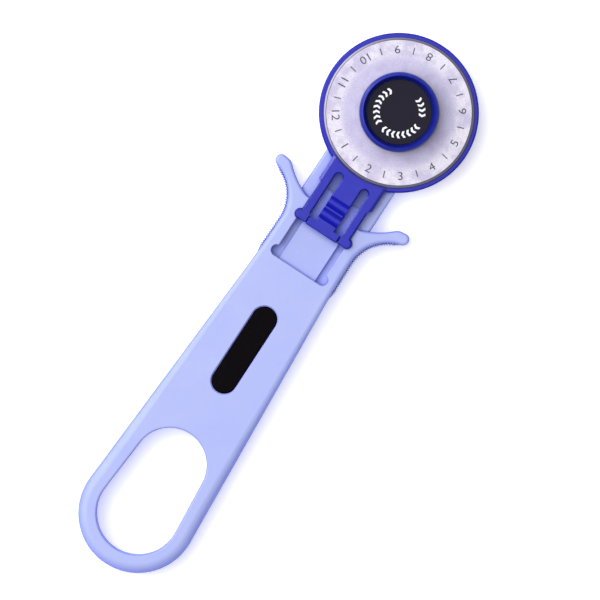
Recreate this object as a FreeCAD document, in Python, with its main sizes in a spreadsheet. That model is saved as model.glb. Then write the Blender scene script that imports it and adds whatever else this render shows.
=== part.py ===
import FreeCAD, Part

import math
import os

import Sketcher

# Rotary paper trimmer with a 28 mm blade, a sliding guard and a finger-loop handle.
# Every sub-part is drawn about the blade's axle: +Y towards the nose, +Z from the back to the knob,
# back face on z = 0. Each one's Placement then puts the middle of the whole tool over the origin.

SIZES = [
    # whole tool
    ("overall_length", 115.35, "nose of the guard to the end of the finger loop"),
    ("split_height", 2.4, "joint between the two handle shells, above the back face"),
    ("neck_height", 4.8, "front face of the neck, which the guard slides on"),
    ("handle_height", 6.0, "front face of the grip"),
    # handle outline: half widths, and distances back from the axle
    ("neck_half", 7.6, "half width of the neck and radius of its round end"),
    ("neck_overlap", 1.5, "how far the neck reaches into the grip"),
    ("ear_root_half", 5.3, "where the ear's front edge starts"),
    ("ear_root_back", 22.5, "same, back from the axle"),
    ("ear_front_radius", 15.6, "ear's front edge, round the guard when it is back"),
    ("ear_crest_half", 11.9, "end of that arc, where the tip starts"),
    ("ear_crest_back", 18.4, "same, back from the axle"),
    ("ear_crest_radius", 2.0, "rounding of that corner"),
    ("ear_tip_half", 14.7, "outermost edge of the ear"),
    ("ear_tip_back", 18.05, "front of the ear's tip, back from the axle"),
    ("ear_heel_back", 20.25, "rear of the ear's tip, back from the axle"),
    ("ear_tip_radius", 1.08, "rounding of the tip's two corners"),
    ("ear_hollow_radius", 8.15, "hollow behind the ear, for finger and thumb"),
    ("waist_half", 7.8, "narrowest half width of the grip"),
    ("waist_back", 28.0, "same, back from the axle"),
    ("flare_radius", 167.0, "slow curve from the waist to the straight side"),
    ("flare_half", 8.1, "half width at the end of that curve"),
    ("flare_back", 38.0, "same, back from the axle"),
    ("loop_radius", 11.2, "outer radius of the finger loop"),
    ("loop_side_half", 11.18, "where the straight side meets the loop"),
    ("loop_side_back", 88.51, "same, back from the axle"),
    ("waist_round", 0.9, "rounding of the front edge at the waist"),
    ("loop_round", 1.8, "rounding of the front edge at the loop"),
    ("ear_round", 0.6, "rounding of the front edge on the ears"),
    ("back_round", 0.9, "rounding of the back edge"),
    ("seam_chamfer", 0.15, "small bevel on both shells at their joint"),
    ("neck_round", 0.5, "rounding of the neck's edges"),
    ("channel_chamfer", 0.12, "small bevel along the channel's top edges"),
    ("hole_round", 0.35, "rounding of the finger hole's edges"),
    # finger hole: a small arc near the grip and a large one at the end, joined by tangents
    ("hole_near_radius", 6.9, "arc nearer the blade"),
    ("hole_near_back", 78.35, "its centre, back from the axle"),
    ("hole_far_radius", 7.77, "arc at the end of the handle"),
    ("hole_far_back", 89.2, "its centre, back from the axle"),
    # guard channel in the grip
    ("channel_half", 5.3, "half width between the channel's walls"),
    ("channel_end_back", 34.95, "closed end of the channel"),
    ("groove_height", 3.6, "floor of the side grooves, and of the well under the guard"),
    ("pad_half", 3.95, "half width of the raised strip between the grooves"),
    ("pad_start_back", 19.2, "front end of that strip"),
    ("well_start_back", 9.0, "front end of the well"),
    ("undercut_half", 5.85, "half width of the undercut that holds the guard's rails"),
    ("undercut_height", 5.1, "top of the undercut"),
    ("undercut_start_back", 22.6, "front end of the undercut"),
    ("undercut_end_back", 34.0, "rear end of the undercut"),
    ("notch_radius", 1.04, "detent notches"),
    ("notch_half", 5.12, "their centres, off the middle line"),
    ("notch_back", 25.8, "front pair, back from the axle"),
    ("guard_travel", 8.1, "guard's stroke, which is also the spacing of the notches"),
    # axle
    ("boss_radius", 3.6, "boss on the neck, which the guard's slot runs along"),
    ("boss_height", 6.0, "top of the boss"),
    ("bolt_radius", 2.0, "M4 shank"),
    ("bolt_end_height", 9.9, "tip of the bolt"),
    ("bolt_head_radius", 3.4, "bolt head, sunk in the back"),
    ("bolt_head_base", 0.25, "outer face of the bolt head"),
    ("bolt_head_top", 1.7, "face of the head that bears on the shell"),
    ("bolt_head_dome", 0.8, "slope of the head: across"),
    ("bolt_head_rise", 0.5, "slope of the head: height"),
    ("bolt_point", 0.4, "bevel of the bolt's tip"),
    ("bolt_square", 4.0, "side of the square neck that stops the bolt turning"),
    ("bolt_square_top", 3.3, "top of the square neck"),
    ("fit_gap", 0.05, "radial clearance of a running fit"),
    ("hole_gap", 0.1, "radial clearance of a plain hole"),
    ("stack_gap", 0.03, "axial play each side of the blade"),
    ("bush_radius", 2.5, "sleeve that the blade turns on"),
    ("bush_top", 7.12, "top of the sleeve"),
    ("backing_radius", 5.0, "washer under the blade"),
    ("backing_thickness", 0.3, "its thickness"),
    ("blade_radius", 14.0, "28 mm blade"),
    ("blade_thickness", 0.3, "steel strip"),
    ("bevel_width", 0.36, "ground edge, both faces"),
    ("edge_land", 0.02, "thickness left at the cutting edge"),
    ("pressure_radius", 6.2, "washer over the blade"),
    ("pressure_thickness", 0.5, "its thickness"),
    ("pressure_bevel", 0.15, "bevel of its edge"),
    # guard
    ("guard_radius", 14.95, "ring, just larger than the blade"),
    ("guard_base", 4.9, "underside of the guard"),
    ("ring_top", 5.9, "top of the ring, under the blade"),
    ("ring_round", 0.3, "rounding of the ring's rim"),
    ("saddle_top", 7.0, "top of the raised part behind the ring"),
    ("saddle_front_radius", 14.4, "curved front of the raised part, clear of the blade"),
    ("saddle_root_back", 12.0, "how far under the blade the raised part is drawn before that cut"),
    ("shoulder_half", 5.85, "shoulders that ride on the grip"),
    ("shoulder_base", 6.1, "their underside"),
    ("shoulder_back", 18.85, "their rear end"),
    ("shoulder_chamfer", 0.55, "their bevelled long edges"),
    ("shoulder_corner", 0.6, "bevel of their rear corners"),
    ("arm_half", 5.22, "outer face of the side arms"),
    ("arm_root_back", 24.75, "where the arms' stiff part ends"),
    ("arm_tip_back", 26.7, "end of the sprung tips"),
    ("slot_inner", 2.06, "slots between thumb tab and arms: side nearer the middle"),
    ("slot_outer", 3.63, "slots: side nearer the arm"),
    ("slot_start_back", 15.45, "slots: front end"),
    ("slot_end_back", 25.3, "slots: rear end"),
    ("foot_half", 3.43, "wide foot of the thumb tab"),
    ("tab_end_back", 26.8, "rear end of the tab"),
    ("axle_slot_half", 3.75, "half width of the slot round the boss"),
    ("slot_chamfer", 0.2, "bevel round the slots' top edges"),
    ("scoop_radius", 1.5, "two scoops across the thumb tab"),
    ("scoop_depth", 0.5, "their depth"),
    ("scoop_front_back", 20.8, "front scoop"),
    ("scoop_rear_back", 23.35, "rear scoop"),
    ("leg_inner", 4.1, "legs that reach into the side grooves: inner face"),
    ("leg_outer", 5.2, "legs: outer face"),
    ("leg_base", 3.8, "legs: underside"),
    ("leg_start_back", 19.6, "legs: front end"),
    ("rail_half", 5.72, "rails under the undercut: outer face"),
    ("rail_top", 4.95, "rails: top"),
    ("rail_start_back", 22.9, "rails: front end"),
    ("rail_end_back", 24.6, "rails: rear end"),
    ("bump_radius", 0.94, "round detent bumps"),
    ("guard_edge_round", 0.22, "rounding of the raised part's top edges"),
    # knob
    ("knob_radius", 7.45, "outside of the knob"),
    ("knob_base", 7.25, "underside of the knob"),
    ("knob_top", 11.9, "crown of the knob's rim"),
    ("knob_crown_radius", 6.75, "radius at which the rim is highest"),
    ("knob_side_top", 11.05, "top of the straight side"),
    ("knob_round", 0.95, "rounding of the rim's outside"),
    ("knob_base_bevel", 0.25, "bevel round the underside"),
    ("cap_radius", 6.08, "black cap in the knob"),
    ("cap_seat", 10.15, "floor under the cap"),
    ("cap_thickness", 0.28, "its thickness"),
    ("cap_bevel", 0.08, "bevel of its edge"),
    ("rim_inner_top", 10.35, "foot of the rim's steep inner wall"),
    ("spring_room_radius", 5.2, "recess for the spring washer"),
    ("spring_room_top", 7.95, "ceiling of that recess"),
    ("nut_across_flats", 7.0, "M4 nut"),
    ("nut_height", 2.2, "its thickness"),
    ("spring_inner", 2.9, "conical spring washer: bore radius"),
    ("spring_outer", 4.8, "its outer radius"),
    ("spring_low", 7.2, "its low edge, by the bore"),
    ("spring_rise", 0.42, "height of the cone"),
    ("spring_thickness", 0.25, "strip thickness"),
    ("retainer_inner", 4.45, "ring that keeps the spring washer in"),
    ("retainer_base", 7.27, "its underside"),
    ("retainer_top", 7.42, "its top"),
    # grip inlay
    ("inlay_half", 2.4, "half width and end radius of the oval"),
    ("inlay_near_back", 46.0, "centre of its front end"),
    ("inlay_far_back", 59.65, "centre of its rear end"),
    ("inlay_seat", 4.6, "floor of its pocket"),
    ("inlay_top", 5.85, "its face, just below the grip's"),
    ("inlay_play", 0.04, "gap round it"),
    ("inlay_round", 0.25, "rounding of its front edge"),
    ("inlay_peg_radius", 0.9, "two pegs under it"),
    ("inlay_peg_base", 3.5, "their lower end"),
    ("lip_chamfer", 0.25, "bevelled lip round the pocket"),
    # inside of the shells and the screws
    ("cavity_near_half", 6.0, "hollow of the shells: half width at the front"),
    ("cavity_near_back", 37.4, "front end of the hollow"),
    ("cavity_far_half", 7.9, "half width at the rear"),
    ("cavity_far_back", 69.0, "rear end of the hollow"),
    ("cavity_floor", 1.2, "wall left in the back shell"),
    ("cavity_ceiling", 4.0, "top of the hollow in the front shell"),
    ("post_radius", 2.3, "posts round the screws"),
    ("screw_near_half", 4.6, "front pair of grip screws"),
    ("screw_near_back", 39.6, "same, back from the axle"),
    ("screw_far_half", 6.0, "rear pair of grip screws"),
    ("screw_far_back", 66.6, "same, back from the axle"),
    ("screw_nose_back", -5.55, "single screw at the nose of the neck"),
    ("screw_head_radius", 1.5, "pan head, sunk in the back"),
    ("screw_head_base", 0.45, "outer face of the head"),
    ("screw_head_top", 1.3, "face that bears on the shell"),
    ("screw_head_slope", 0.3, "bevel of the head"),
    ("screw_point", 0.6, "length of the point"),
    ("screw_radius", 0.7, "shank"),
    ("screw_end", 4.1, "tip of the screw"),
    ("screw_cross_width", 0.4, "cross recess: width"),
    ("screw_cross_half", 0.9, "cross recess: half length"),
    ("screw_cross_depth", 0.45, "cross recess: depth"),
]

document = FreeCAD.newDocument("rotary_trimmer")
sheet = document.addObject("Spreadsheet::Sheet", "Sizes")


class Size:
    """A length: its value now, and the expression over the sheet that keeps it bound."""

    def __init__(self, value, text):
        self.value = value
        self.text = text

    def __add__(self, other):
        other = as_size(other)
        return Size(self.value + other.value, f"({self.text} + {other.text})")

    def __sub__(self, other):
        other = as_size(other)
        return Size(self.value - other.value, f"({self.text} - {other.text})")

    def __mul__(self, number):
        return Size(self.value * number, f"({self.text} * {number})")

    def __truediv__(self, number):
        return Size(self.value / number, f"({self.text} / {number})")

    def __neg__(self):
        return Size(-self.value, f"(-1 * {self.text})")

    __radd__ = __add__


def as_size(number):
    return number if isinstance(number, Size) else Size(float(number), str(float(number)))


def fill_sheet():
    """Write each driving dimension with its alias and meaning, and return them by name."""
    sizes = {}
    for row, (alias, value, meaning) in enumerate(SIZES, start=1):
        sheet.set(f"A{row}", alias)
        sheet.set(f"B{row}", str(value))
        sheet.setAlias(f"B{row}", alias)
        sheet.set(f"C{row}", meaning)
        sizes[alias] = Size(value, f"Sizes.{alias}")
    document.recompute()
    return sizes


size = fill_sheet()
ZERO = as_size(0)
PAST = 1.0  # how far a cut reaches past the face it opens
SINK = 0.1  # how far a shape is sunk into the one it joins or cuts
SAME = 1e-4  # places that differ by less are one place
SLACK = 0.01  # margin of an area that an edge has to lie in


def bind(item, prop, length):
    item.setExpression(prop, as_size(length).text)


def move(item, x=ZERO, y=ZERO, z=ZERO, prop="Placement"):
    """Bind the parts of a placement that aren't zero."""
    for axis, length in zip("xyz", (x, y, z)):
        if as_size(length).text != ZERO.text:
            bind(item, f"{prop}.Base.{axis}", length)


# --- sketches -------------------------------------------------------------------------------------

def new_sketch(body, name, plane="XY_Plane", height=ZERO):
    """A sketch on one of the body's own planes, or a free one on XY when there is no body."""
    if body is None:
        sketch = document.addObject("Sketcher::SketchObject", name)
        move(sketch, z=height)
        return sketch
    sketch = body.newObject("Sketcher::SketchObject", name)
    origin_plane = next(item for item in body.Origin.OriginFeatures if item.Role == plane)
    sketch.AttachmentSupport = (origin_plane, [""])
    sketch.MapMode = "FlatFace"
    move(sketch, z=height, prop="AttachmentOffset")
    return sketch


def draw_edge(sketch, start, end, radius):
    """Add a line, or an arc shorter than a half circle that curves left (+) or right (-).

    Returns the geometry's index and which of its ends, 1 or 2, is the start and the end.
    """
    if radius is None:
        return sketch.addGeometry(Part.LineSegment(start, end)), 1, 2
    chord = end - start
    bend = abs(radius.value)
    side = 1 if radius.value > 0 else -1
    left = FreeCAD.Vector(-chord.y, chord.x, 0).normalize()
    reach = math.sqrt(bend ** 2 - (chord.Length / 2) ** 2)
    centre = start + chord / 2 + left * (side * reach)
    angles = [math.atan2(p.y - centre.y, p.x - centre.x) for p in (start, end)]
    if side < 0:
        angles.reverse()
    circle = Part.Circle(centre, FreeCAD.Vector(0, 0, 1), bend)
    index = sketch.addGeometry(Part.ArcOfCircle(circle, angles[0], angles[1]))
    return (index, 1, 2) if side > 0 else (index, 2, 1)


def pin(sketch, index, end, corner):
    """Fix one end of a piece of geometry at a corner given by two sizes."""
    for kind, axis, length in (("DistanceX", -2, corner[0]), ("DistanceY", -1, corner[1])):
        length = as_size(length)
        if abs(length.value) < SAME:
            sketch.addConstraint(Sketcher.Constraint("PointOnObject", index, end, axis))
            continue
        number = sketch.addConstraint(Sketcher.Constraint(kind, -1, 1, index, end, length.value))
        sketch.setExpression(f"Constraints[{number}]", length.text)


def outline(sketch, corners, radii=None):
    """A closed profile through the corners; radii maps an edge's number to its arc."""
    radii = radii or {}
    points = [FreeCAD.Vector(as_size(x).value, as_size(y).value, 0) for x, y in corners]
    count = len(points)
    edges = []
    for number in range(count):
        radius = radii.get(number)
        edges.append(draw_edge(sketch, points[number], points[(number + 1) % count], radius))
    for number, (index, start, end) in enumerate(edges):
        after, after_start, _ = edges[(number + 1) % count]
        sketch.addConstraint(Sketcher.Constraint("Coincident", index, end, after, after_start))
        pin(sketch, index, start, corners[number])
        if number in radii:
            bend = radii[number]
            rule = sketch.addConstraint(Sketcher.Constraint("Radius", index, abs(bend.value)))
            sketch.setExpression(f"Constraints[{rule}]", f"abs({bend.text})")
    return sketch


def mirrored(corners, radii):
    """Complete a profile given from front to rear on the +X side; it runs clockwise."""
    on_axis = [abs(as_size(x).value) < SAME for x, _ in corners]
    count = len(corners)
    back_again = [(-as_size(x), y) for (x, y), axis in zip(corners, on_axis) if not axis]
    back_again.reverse()
    full_radii = dict(radii)
    first_mirrored = count - 1 if on_axis[-1] else count
    for edge, bend in radii.items():
        full_radii[first_mirrored + (count - 2 - edge)] = bend
    return list(corners) + back_again, full_radii


# --- PartDesign helpers ---------------------------------------------------------------------------

def new_body(name):
    return document.addObject("PartDesign::Body", name)


def pad(body, name, sketch, height):
    feature = body.newObject("PartDesign::Pad", name)
    feature.Profile = sketch
    bind(feature, "Length", height)
    return feature


def turned(name, corners, radii=None):
    """A body of revolution about Z, from a closed profile of (radius, height) corners."""
    body = new_body(name)
    sketch = outline(new_sketch(body, f"{name}_profile", "XZ_Plane"), corners, radii)
    revolution = body.newObject("PartDesign::Revolution", f"{name}_turned")
    revolution.Profile = sketch
    revolution.ReferenceAxis = (sketch, ["V_Axis"])
    revolution.Angle = 360.0
    return body


def ring_profile(inner, outer, low, high):
    return [(inner, low), (outer, low), (outer, high), (inner, high)]


def box(body, name, low, high, cut=False):
    """A rectangular block between two corners, added to the body or cut from it."""
    kind = "PartDesign::SubtractiveBox" if cut else "PartDesign::AdditiveBox"
    feature = body.newObject(kind, name)
    for prop, start, end in zip(("Length", "Width", "Height"), low, high):
        bind(feature, prop, as_size(end) - start)
    move(feature, *low)
    return feature


def cylinder(body, name, radius, low, high, x=ZERO, y=ZERO, cut=False):
    kind = "PartDesign::SubtractiveCylinder" if cut else "PartDesign::AdditiveCylinder"
    feature = body.newObject(kind, name)
    bind(feature, "Radius", radius)
    bind(feature, "Height", as_size(high) - low)
    move(feature, x, y, low)
    return feature


def edge_names(shape, wanted):
    return [f"Edge{n}" for n, edge in enumerate(shape.Edges, start=1) if wanted(edge)]


def soften(body, name, wanted, radius, kind="PartDesign::Fillet"):
    """Round, or chamfer, the edges of the body's present shape that the test picks out."""
    document.recompute()
    base = body.Tip
    feature = body.newObject(kind, name)
    feature.Base = (base, edge_names(base.Shape, wanted))
    bind(feature, "Radius" if kind.endswith("Fillet") else "Size", radius)
    return feature


def lies_at_height(edge, height):
    return abs(edge.BoundBox.ZMin - height.value) < SAME and abs(edge.BoundBox.ZMax - height.value) < SAME


# --- handle ---------------------------------------------------------------------------------------

def grip_corners():
    """Ears, grip and finger loop, +X side, from the step behind the guard to the loop's end."""
    corners = [
        (size["ear_root_half"], -size["ear_root_back"]),
        (size["ear_crest_half"], -size["ear_crest_back"]),
        (size["ear_tip_half"], -size["ear_tip_back"]),
        (size["ear_tip_half"], -size["ear_heel_back"]),
        (size["waist_half"], -size["waist_back"]),
        (size["flare_half"], -size["flare_back"]),
        (size["loop_side_half"], -size["loop_side_back"]),
        (ZERO, size["guard_radius"] - size["overall_length"]),
    ]
    radii = {
        0: size["ear_front_radius"],
        3: size["ear_hollow_radius"],
        4: size["flare_radius"],
        6: -size["loop_radius"],
    }
    return mirrored(corners, radii)


def neck_corners():
    corners = [
        (ZERO, size["neck_half"]),
        (size["neck_half"], ZERO),
        (size["neck_half"], -size["ear_root_back"] - size["neck_overlap"]),
    ]
    return mirrored(corners, {0: -size["neck_half"]})


def hole_corners():
    """The finger hole: two arcs and the tangents between them."""
    near, far = size["hole_near_radius"], size["hole_far_radius"]
    spread = size["hole_far_back"].value - size["hole_near_back"].value
    lean = math.asin((far.value - near.value) / spread)
    level, rise = math.cos(lean), math.sin(lean)
    corners = [
        (ZERO, near - size["hole_near_back"]),
        (near * level, near * rise - size["hole_near_back"]),
        (far * level, far * rise - size["hole_far_back"]),
        (ZERO, -far - size["hole_far_back"]),
    ]
    return mirrored(corners, {0: -near, 2: -far})


def oval_corners(half, extra=ZERO):
    """The inlay's oval, grown all round by extra."""
    reach = half + extra
    corners = [
        (ZERO, reach - size["inlay_near_back"]),
        (reach, -size["inlay_near_back"]),
        (reach, -size["inlay_far_back"]),
        (ZERO, -reach - size["inlay_far_back"]),
    ]
    return mirrored(corners, {0: -reach, 2: -reach})


def cavity_corners():
    corners = [
        (size["cavity_near_half"], -size["cavity_near_back"]),
        (size["cavity_far_half"], -size["cavity_far_back"]),
    ]
    return mirrored(corners, {})


def slab(name, profile, low, high):
    """A plain extrusion of a closed profile between two heights."""
    sketch = outline(new_sketch(None, f"{name}_outline", height=low), *profile)
    block = document.addObject("Part::Extrusion", name)
    block.Base = sketch
    block.DirMode = "Normal"
    block.Solid = True
    bind(block, "LengthFwd", as_size(high) - low)
    return block


def grip_rounding(edge, height):
    """Start and end radius for an outline edge of the grip, or None for one left sharp."""
    if not lies_at_height(edge, height):
        return None
    middle = edge.BoundBox.Center
    if edge.BoundBox.YLength < SAME and edge.BoundBox.XLength > size["ear_root_half"].value:
        return None
    waist, loop, ear = (size[key].value for key in ("waist_round", "loop_round", "ear_round"))
    if middle.y > -size["waist_back"].value:
        hollow = edge.BoundBox.YMin < -size["waist_back"].value + SLACK
        return (ear, waist) if hollow else (ear, ear)
    if middle.y > -size["flare_back"].value:
        return waist, waist
    if middle.y > -size["loop_side_back"].value:
        return waist, loop
    return loop, loop


def corner_rounding(edge):
    """Radius at both ends for the upright edges at the ear's crest and tip."""
    span = edge.BoundBox
    if max(span.XLength, span.YLength) > 1e-4:
        return None
    for half, back, radius in (("ear_crest_half", "ear_crest_back", "ear_crest_radius"),
                               ("ear_tip_half", "ear_tip_back", "ear_tip_radius"),
                               ("ear_tip_half", "ear_heel_back", "ear_tip_radius")):
        off = math.hypot(abs(span.XMin) - size[half].value, span.YMin + size[back].value)
        if off < SAME:
            return size[radius].value, size[radius].value
    return None


def rounded(name, block, rounding):
    """Round a slab's edges with radii that may change along an edge.

    rounding(edge) gives the radius at the end nearer the nose and at the end nearer the loop.
    """
    document.recompute()
    chosen = []
    for number, edge in enumerate(block.Shape.Edges, start=1):
        radii = rounding(edge)
        if radii is None:
            continue
        first, last = (edge.valueAt(end) for end in (edge.FirstParameter, edge.LastParameter))
        near, far = radii
        chosen.append((number, near, far) if first.y >= last.y else (number, far, near))
    feature = document.addObject("Part::Fillet", name)
    feature.Base = block
    feature.Edges = chosen
    return feature


def shell_body(name, base):
    """A body that starts from the rounded slab."""
    document.recompute()
    body = new_body(name)
    body.BaseFeature = base
    document.recompute()
    return body


def screw_places():
    places = [(ZERO, -size["screw_nose_back"])]
    for which in ("near", "far"):
        for side in (-1, 1):
            places.append((size[f"screw_{which}_half"] * side, -size[f"screw_{which}_back"]))
    return places


def cut_cavity(body, low, high):
    """Hollow the grip between two heights, and put back the posts for the screws and pegs."""
    sketch = new_sketch(body, f"{body.Name}_cavity_outline", height=high)
    outline(sketch, *cavity_corners())
    pocket = body.newObject("PartDesign::Pocket", f"{body.Name}_cavity")
    pocket.Profile = sketch
    bind(pocket, "Length", high - low)
    for number, (x, y) in enumerate(screw_places()[1:]):
        cylinder(body, f"{body.Name}_post_{number}", size["post_radius"], low, high, x, y)


def cut_finger_hole(body, low, high):
    sketch = outline(new_sketch(body, f"{body.Name}_hole_outline", height=high), *hole_corners())
    pocket = body.newObject("PartDesign::Pocket", f"{body.Name}_finger_hole")
    pocket.Profile = sketch
    bind(pocket, "Length", high - low)


def is_hole_edge(edge, height):
    box_of = edge.BoundBox
    inside = box_of.YMax < -size["hole_near_back"].value + size["hole_near_radius"].value + SLACK
    narrow = max(abs(box_of.XMin), abs(box_of.XMax)) < size["hole_far_radius"].value + SLACK
    above_end = box_of.YMin > -size["hole_far_back"].value - size["hole_far_radius"].value - SLACK
    return lies_at_height(edge, height) and inside and narrow and above_end


def is_neck_edge(edge):
    """Front edges of the neck's round end and straight sides."""
    span = edge.BoundBox
    half = size["neck_half"].value
    on_end = span.YMin > -SLACK
    on_side = span.XLength < SAME and abs(abs(span.XMin) - half) < SAME
    return lies_at_height(edge, size["neck_height"]) and (on_end or on_side)


def is_channel_edge(edge):
    """Top edges of the channel and its notches, behind the ears' roots."""
    span = edge.BoundBox
    reach = size["notch_half"].value + size["notch_radius"].value + SLACK
    behind = span.YMax < -size["ear_root_back"].value + SLACK
    before = span.YMin > -size["channel_end_back"].value - SLACK
    narrow = max(abs(span.XMin), abs(span.XMax)) < reach
    return lies_at_height(edge, size["handle_height"]) and behind and before and narrow


def cut_channel(body):
    """Everything that the guard runs in: channel, grooves, well, undercuts and notches."""
    half, end = size["channel_half"], -size["channel_end_back"]
    floor, pad_top = size["groove_height"], size["neck_height"]
    above = size["handle_height"] + PAST
    box(body, "channel", (-half, end, pad_top), (half, -size["ear_root_back"] + PAST, above), cut=True)
    box(body, "well", (-half, -size["pad_start_back"], floor),
        (half, -size["well_start_back"], pad_top + PAST), cut=True)
    for side, name in ((-1, "left"), (1, "right")):
        spans = {
            "groove": (size["pad_half"], half, end, -size["pad_start_back"], floor, pad_top + SINK),
            "undercut": (half - SINK, size["undercut_half"], -size["undercut_end_back"],
                         -size["undercut_start_back"], floor, size["undercut_height"]),
        }
        for kind, (inner, outer, rear, front, low, high) in spans.items():
            left, right = (inner, outer) if side > 0 else (-outer, -inner)
            box(body, f"{kind}_{name}", (left, rear, low), (right, front, high), cut=True)
        for place, back in (("front", size["notch_back"]),
                            ("rear", size["notch_back"] + size["guard_travel"])):
            cylinder(body, f"notch_{place}_{name}", size["notch_radius"], floor, above,
                     size["notch_half"] * side, -back, cut=True)


def make_front_shell():
    """Front moulding: grip, ears and loop, the lower neck with its boss, and the channel."""
    split, top = size["split_height"], size["handle_height"]
    block = slab("front_block", grip_corners(), split, top)
    block = rounded("front_corners", block, corner_rounding)
    block = rounded("front_edges", block, lambda e: grip_rounding(e, top))
    body = shell_body("handle_front_shell", block)
    neck = outline(new_sketch(body, "front_neck_outline", height=split), *neck_corners())
    pad(body, "front_neck", neck, size["neck_height"] - split)
    soften(body, "front_neck_round", is_neck_edge, size["neck_round"])
    cut_finger_hole(body, split, top)
    soften(body, "front_hole_round", lambda e: is_hole_edge(e, top), size["hole_round"])
    soften(body, "front_seam", lambda e: lies_at_height(e, split), size["seam_chamfer"],
           "PartDesign::Chamfer")
    cut_channel(body)
    soften(body, "channel_bevel", is_channel_edge, size["channel_chamfer"], "PartDesign::Chamfer")
    cylinder(body, "boss", size["boss_radius"], size["neck_height"] - PAST, size["boss_height"])
    cut_cavity(body, split, size["cavity_ceiling"])
    seat = outline(new_sketch(body, "inlay_seat_outline", height=top),
                   *oval_corners(size["inlay_half"], size["inlay_play"]))
    pocket = body.newObject("PartDesign::Pocket", "inlay_pocket")
    pocket.Profile = seat
    bind(pocket, "Length", top - size["inlay_seat"])
    soften(body, "inlay_lip", is_inlay_rim, size["lip_chamfer"], "PartDesign::Chamfer")
    for number, back in enumerate((size["inlay_near_back"], size["inlay_far_back"])):
        cylinder(body, f"peg_hole_{number}", size["inlay_peg_radius"] + size["inlay_play"],
                 size["cavity_ceiling"] - PAST, size["inlay_seat"] + SINK, y=-back, cut=True)
    square = size["bolt_square"] / 2 + size["hole_gap"]
    box(body, "square_socket", (-square, -square, split - PAST), (square, square, size["bolt_square_top"]),
        cut=True)
    cylinder(body, "bolt_hole", size["bolt_radius"] + size["hole_gap"], split, size["boss_height"] + PAST,
             cut=True)
    for number, (x, y) in enumerate(screw_places()):
        cylinder(body, f"screw_core_{number}", size["screw_radius"], split - SINK, size["screw_end"] + SINK,
                 x, y, cut=True)
    return body


def is_inlay_rim(edge):
    reach = size["inlay_half"].value + size["inlay_play"].value + SLACK
    front = reach - size["inlay_near_back"].value
    rear = -reach - size["inlay_far_back"].value
    span = edge.BoundBox
    return (lies_at_height(edge, size["handle_height"]) and span.YMax < front + SLACK
            and span.YMin > rear - SLACK and max(abs(span.XMin), abs(span.XMax)) < reach)


def make_back_shell():
    """Back moulding: the flat back, with recesses for the bolt head and the screw heads."""
    split = size["split_height"]
    grip = rounded("back_corners", slab("back_block", grip_corners(), ZERO, split), corner_rounding)
    union = document.addObject("Part::Fuse", "back_union")
    union.Base = grip
    union.Tool = slab("back_neck", neck_corners(), ZERO, split)
    union.Refine = True
    body = shell_body("handle_back_shell", rounded("back_edges", union, back_rounding))
    cut_finger_hole(body, ZERO, split)
    soften(body, "back_hole_round", lambda e: is_hole_edge(e, ZERO), size["hole_round"])
    soften(body, "back_seam", lambda e: lies_at_height(e, split), size["seam_chamfer"],
           "PartDesign::Chamfer")
    cut_cavity(body, size["cavity_floor"], split)
    cylinder(body, "head_recess", size["bolt_head_radius"] + size["hole_gap"] * 2, -PAST,
             size["bolt_head_top"], cut=True)
    square = size["bolt_square"] / 2 + size["hole_gap"]
    box(body, "square_hole", (-square, -square, size["bolt_head_top"] - SINK),
        (square, square, split + SINK), cut=True)
    for number, (x, y) in enumerate(screw_places()):
        cylinder(body, f"counterbore_{number}", size["screw_head_radius"] + size["hole_gap"], -PAST,
                 size["screw_head_top"], x, y, cut=True)
        cylinder(body, f"screw_hole_{number}", size["screw_radius"] + size["hole_gap"],
                 size["screw_head_top"] - SINK, split + SINK, x, y, cut=True)
    return body


def back_rounding(edge):
    if grip_rounding(edge, ZERO) is None:
        return None
    on_ear = edge.BoundBox.Center.y > -size["waist_back"].value
    ear, grip = size["ear_round"].value, size["back_round"].value
    if not on_ear:
        return grip, grip
    return (ear, grip) if edge.BoundBox.YMin < -size["waist_back"].value + SLACK else (ear, ear)


def make_inlay():
    body = new_body("grip_inlay")
    sketch = outline(new_sketch(body, "inlay_outline", height=size["inlay_seat"]),
                     *oval_corners(size["inlay_half"]))
    pad(body, "inlay_slab", sketch, size["inlay_top"] - size["inlay_seat"])
    soften(body, "inlay_edge", lambda e: lies_at_height(e, size["inlay_top"]), size["inlay_round"])
    for number, back in enumerate((size["inlay_near_back"], size["inlay_far_back"])):
        cylinder(body, f"inlay_peg_{number}", size["inlay_peg_radius"], size["inlay_peg_base"],
                 size["inlay_seat"] + SINK, y=-back)
    return body


def make_screws():
    """Five self-tapping screws, all alike, in one group."""
    head, shank = size["screw_head_radius"], size["screw_radius"]
    base, seat, tip = size["screw_head_base"], size["screw_head_top"], size["screw_end"]
    slope = size["screw_head_slope"]
    profile = [(ZERO, base), (head - slope, base), (head, base + slope), (head, seat), (shank, seat),
               (shank, tip - size["screw_point"]), (ZERO, tip)]
    cross, arm = size["screw_cross_width"] / 2, size["screw_cross_half"]
    screws = []
    for number, (x, y) in enumerate(screw_places()):
        screw = turned(f"screw_{number}", profile)
        for name, along, across in (("a", arm, cross), ("b", cross, arm)):
            box(screw, f"screw_{number}_cross_{name}", (-along, -across, base - PAST),
                (along, across, base + size["screw_cross_depth"]), cut=True)
        move(screw, x, y)
        screws.append(screw)
    group = document.addObject("Part::Compound", "handle_screws")
    group.Links = screws
    return group


# --- axle -----------------------------------------------------------------------------------------

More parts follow.
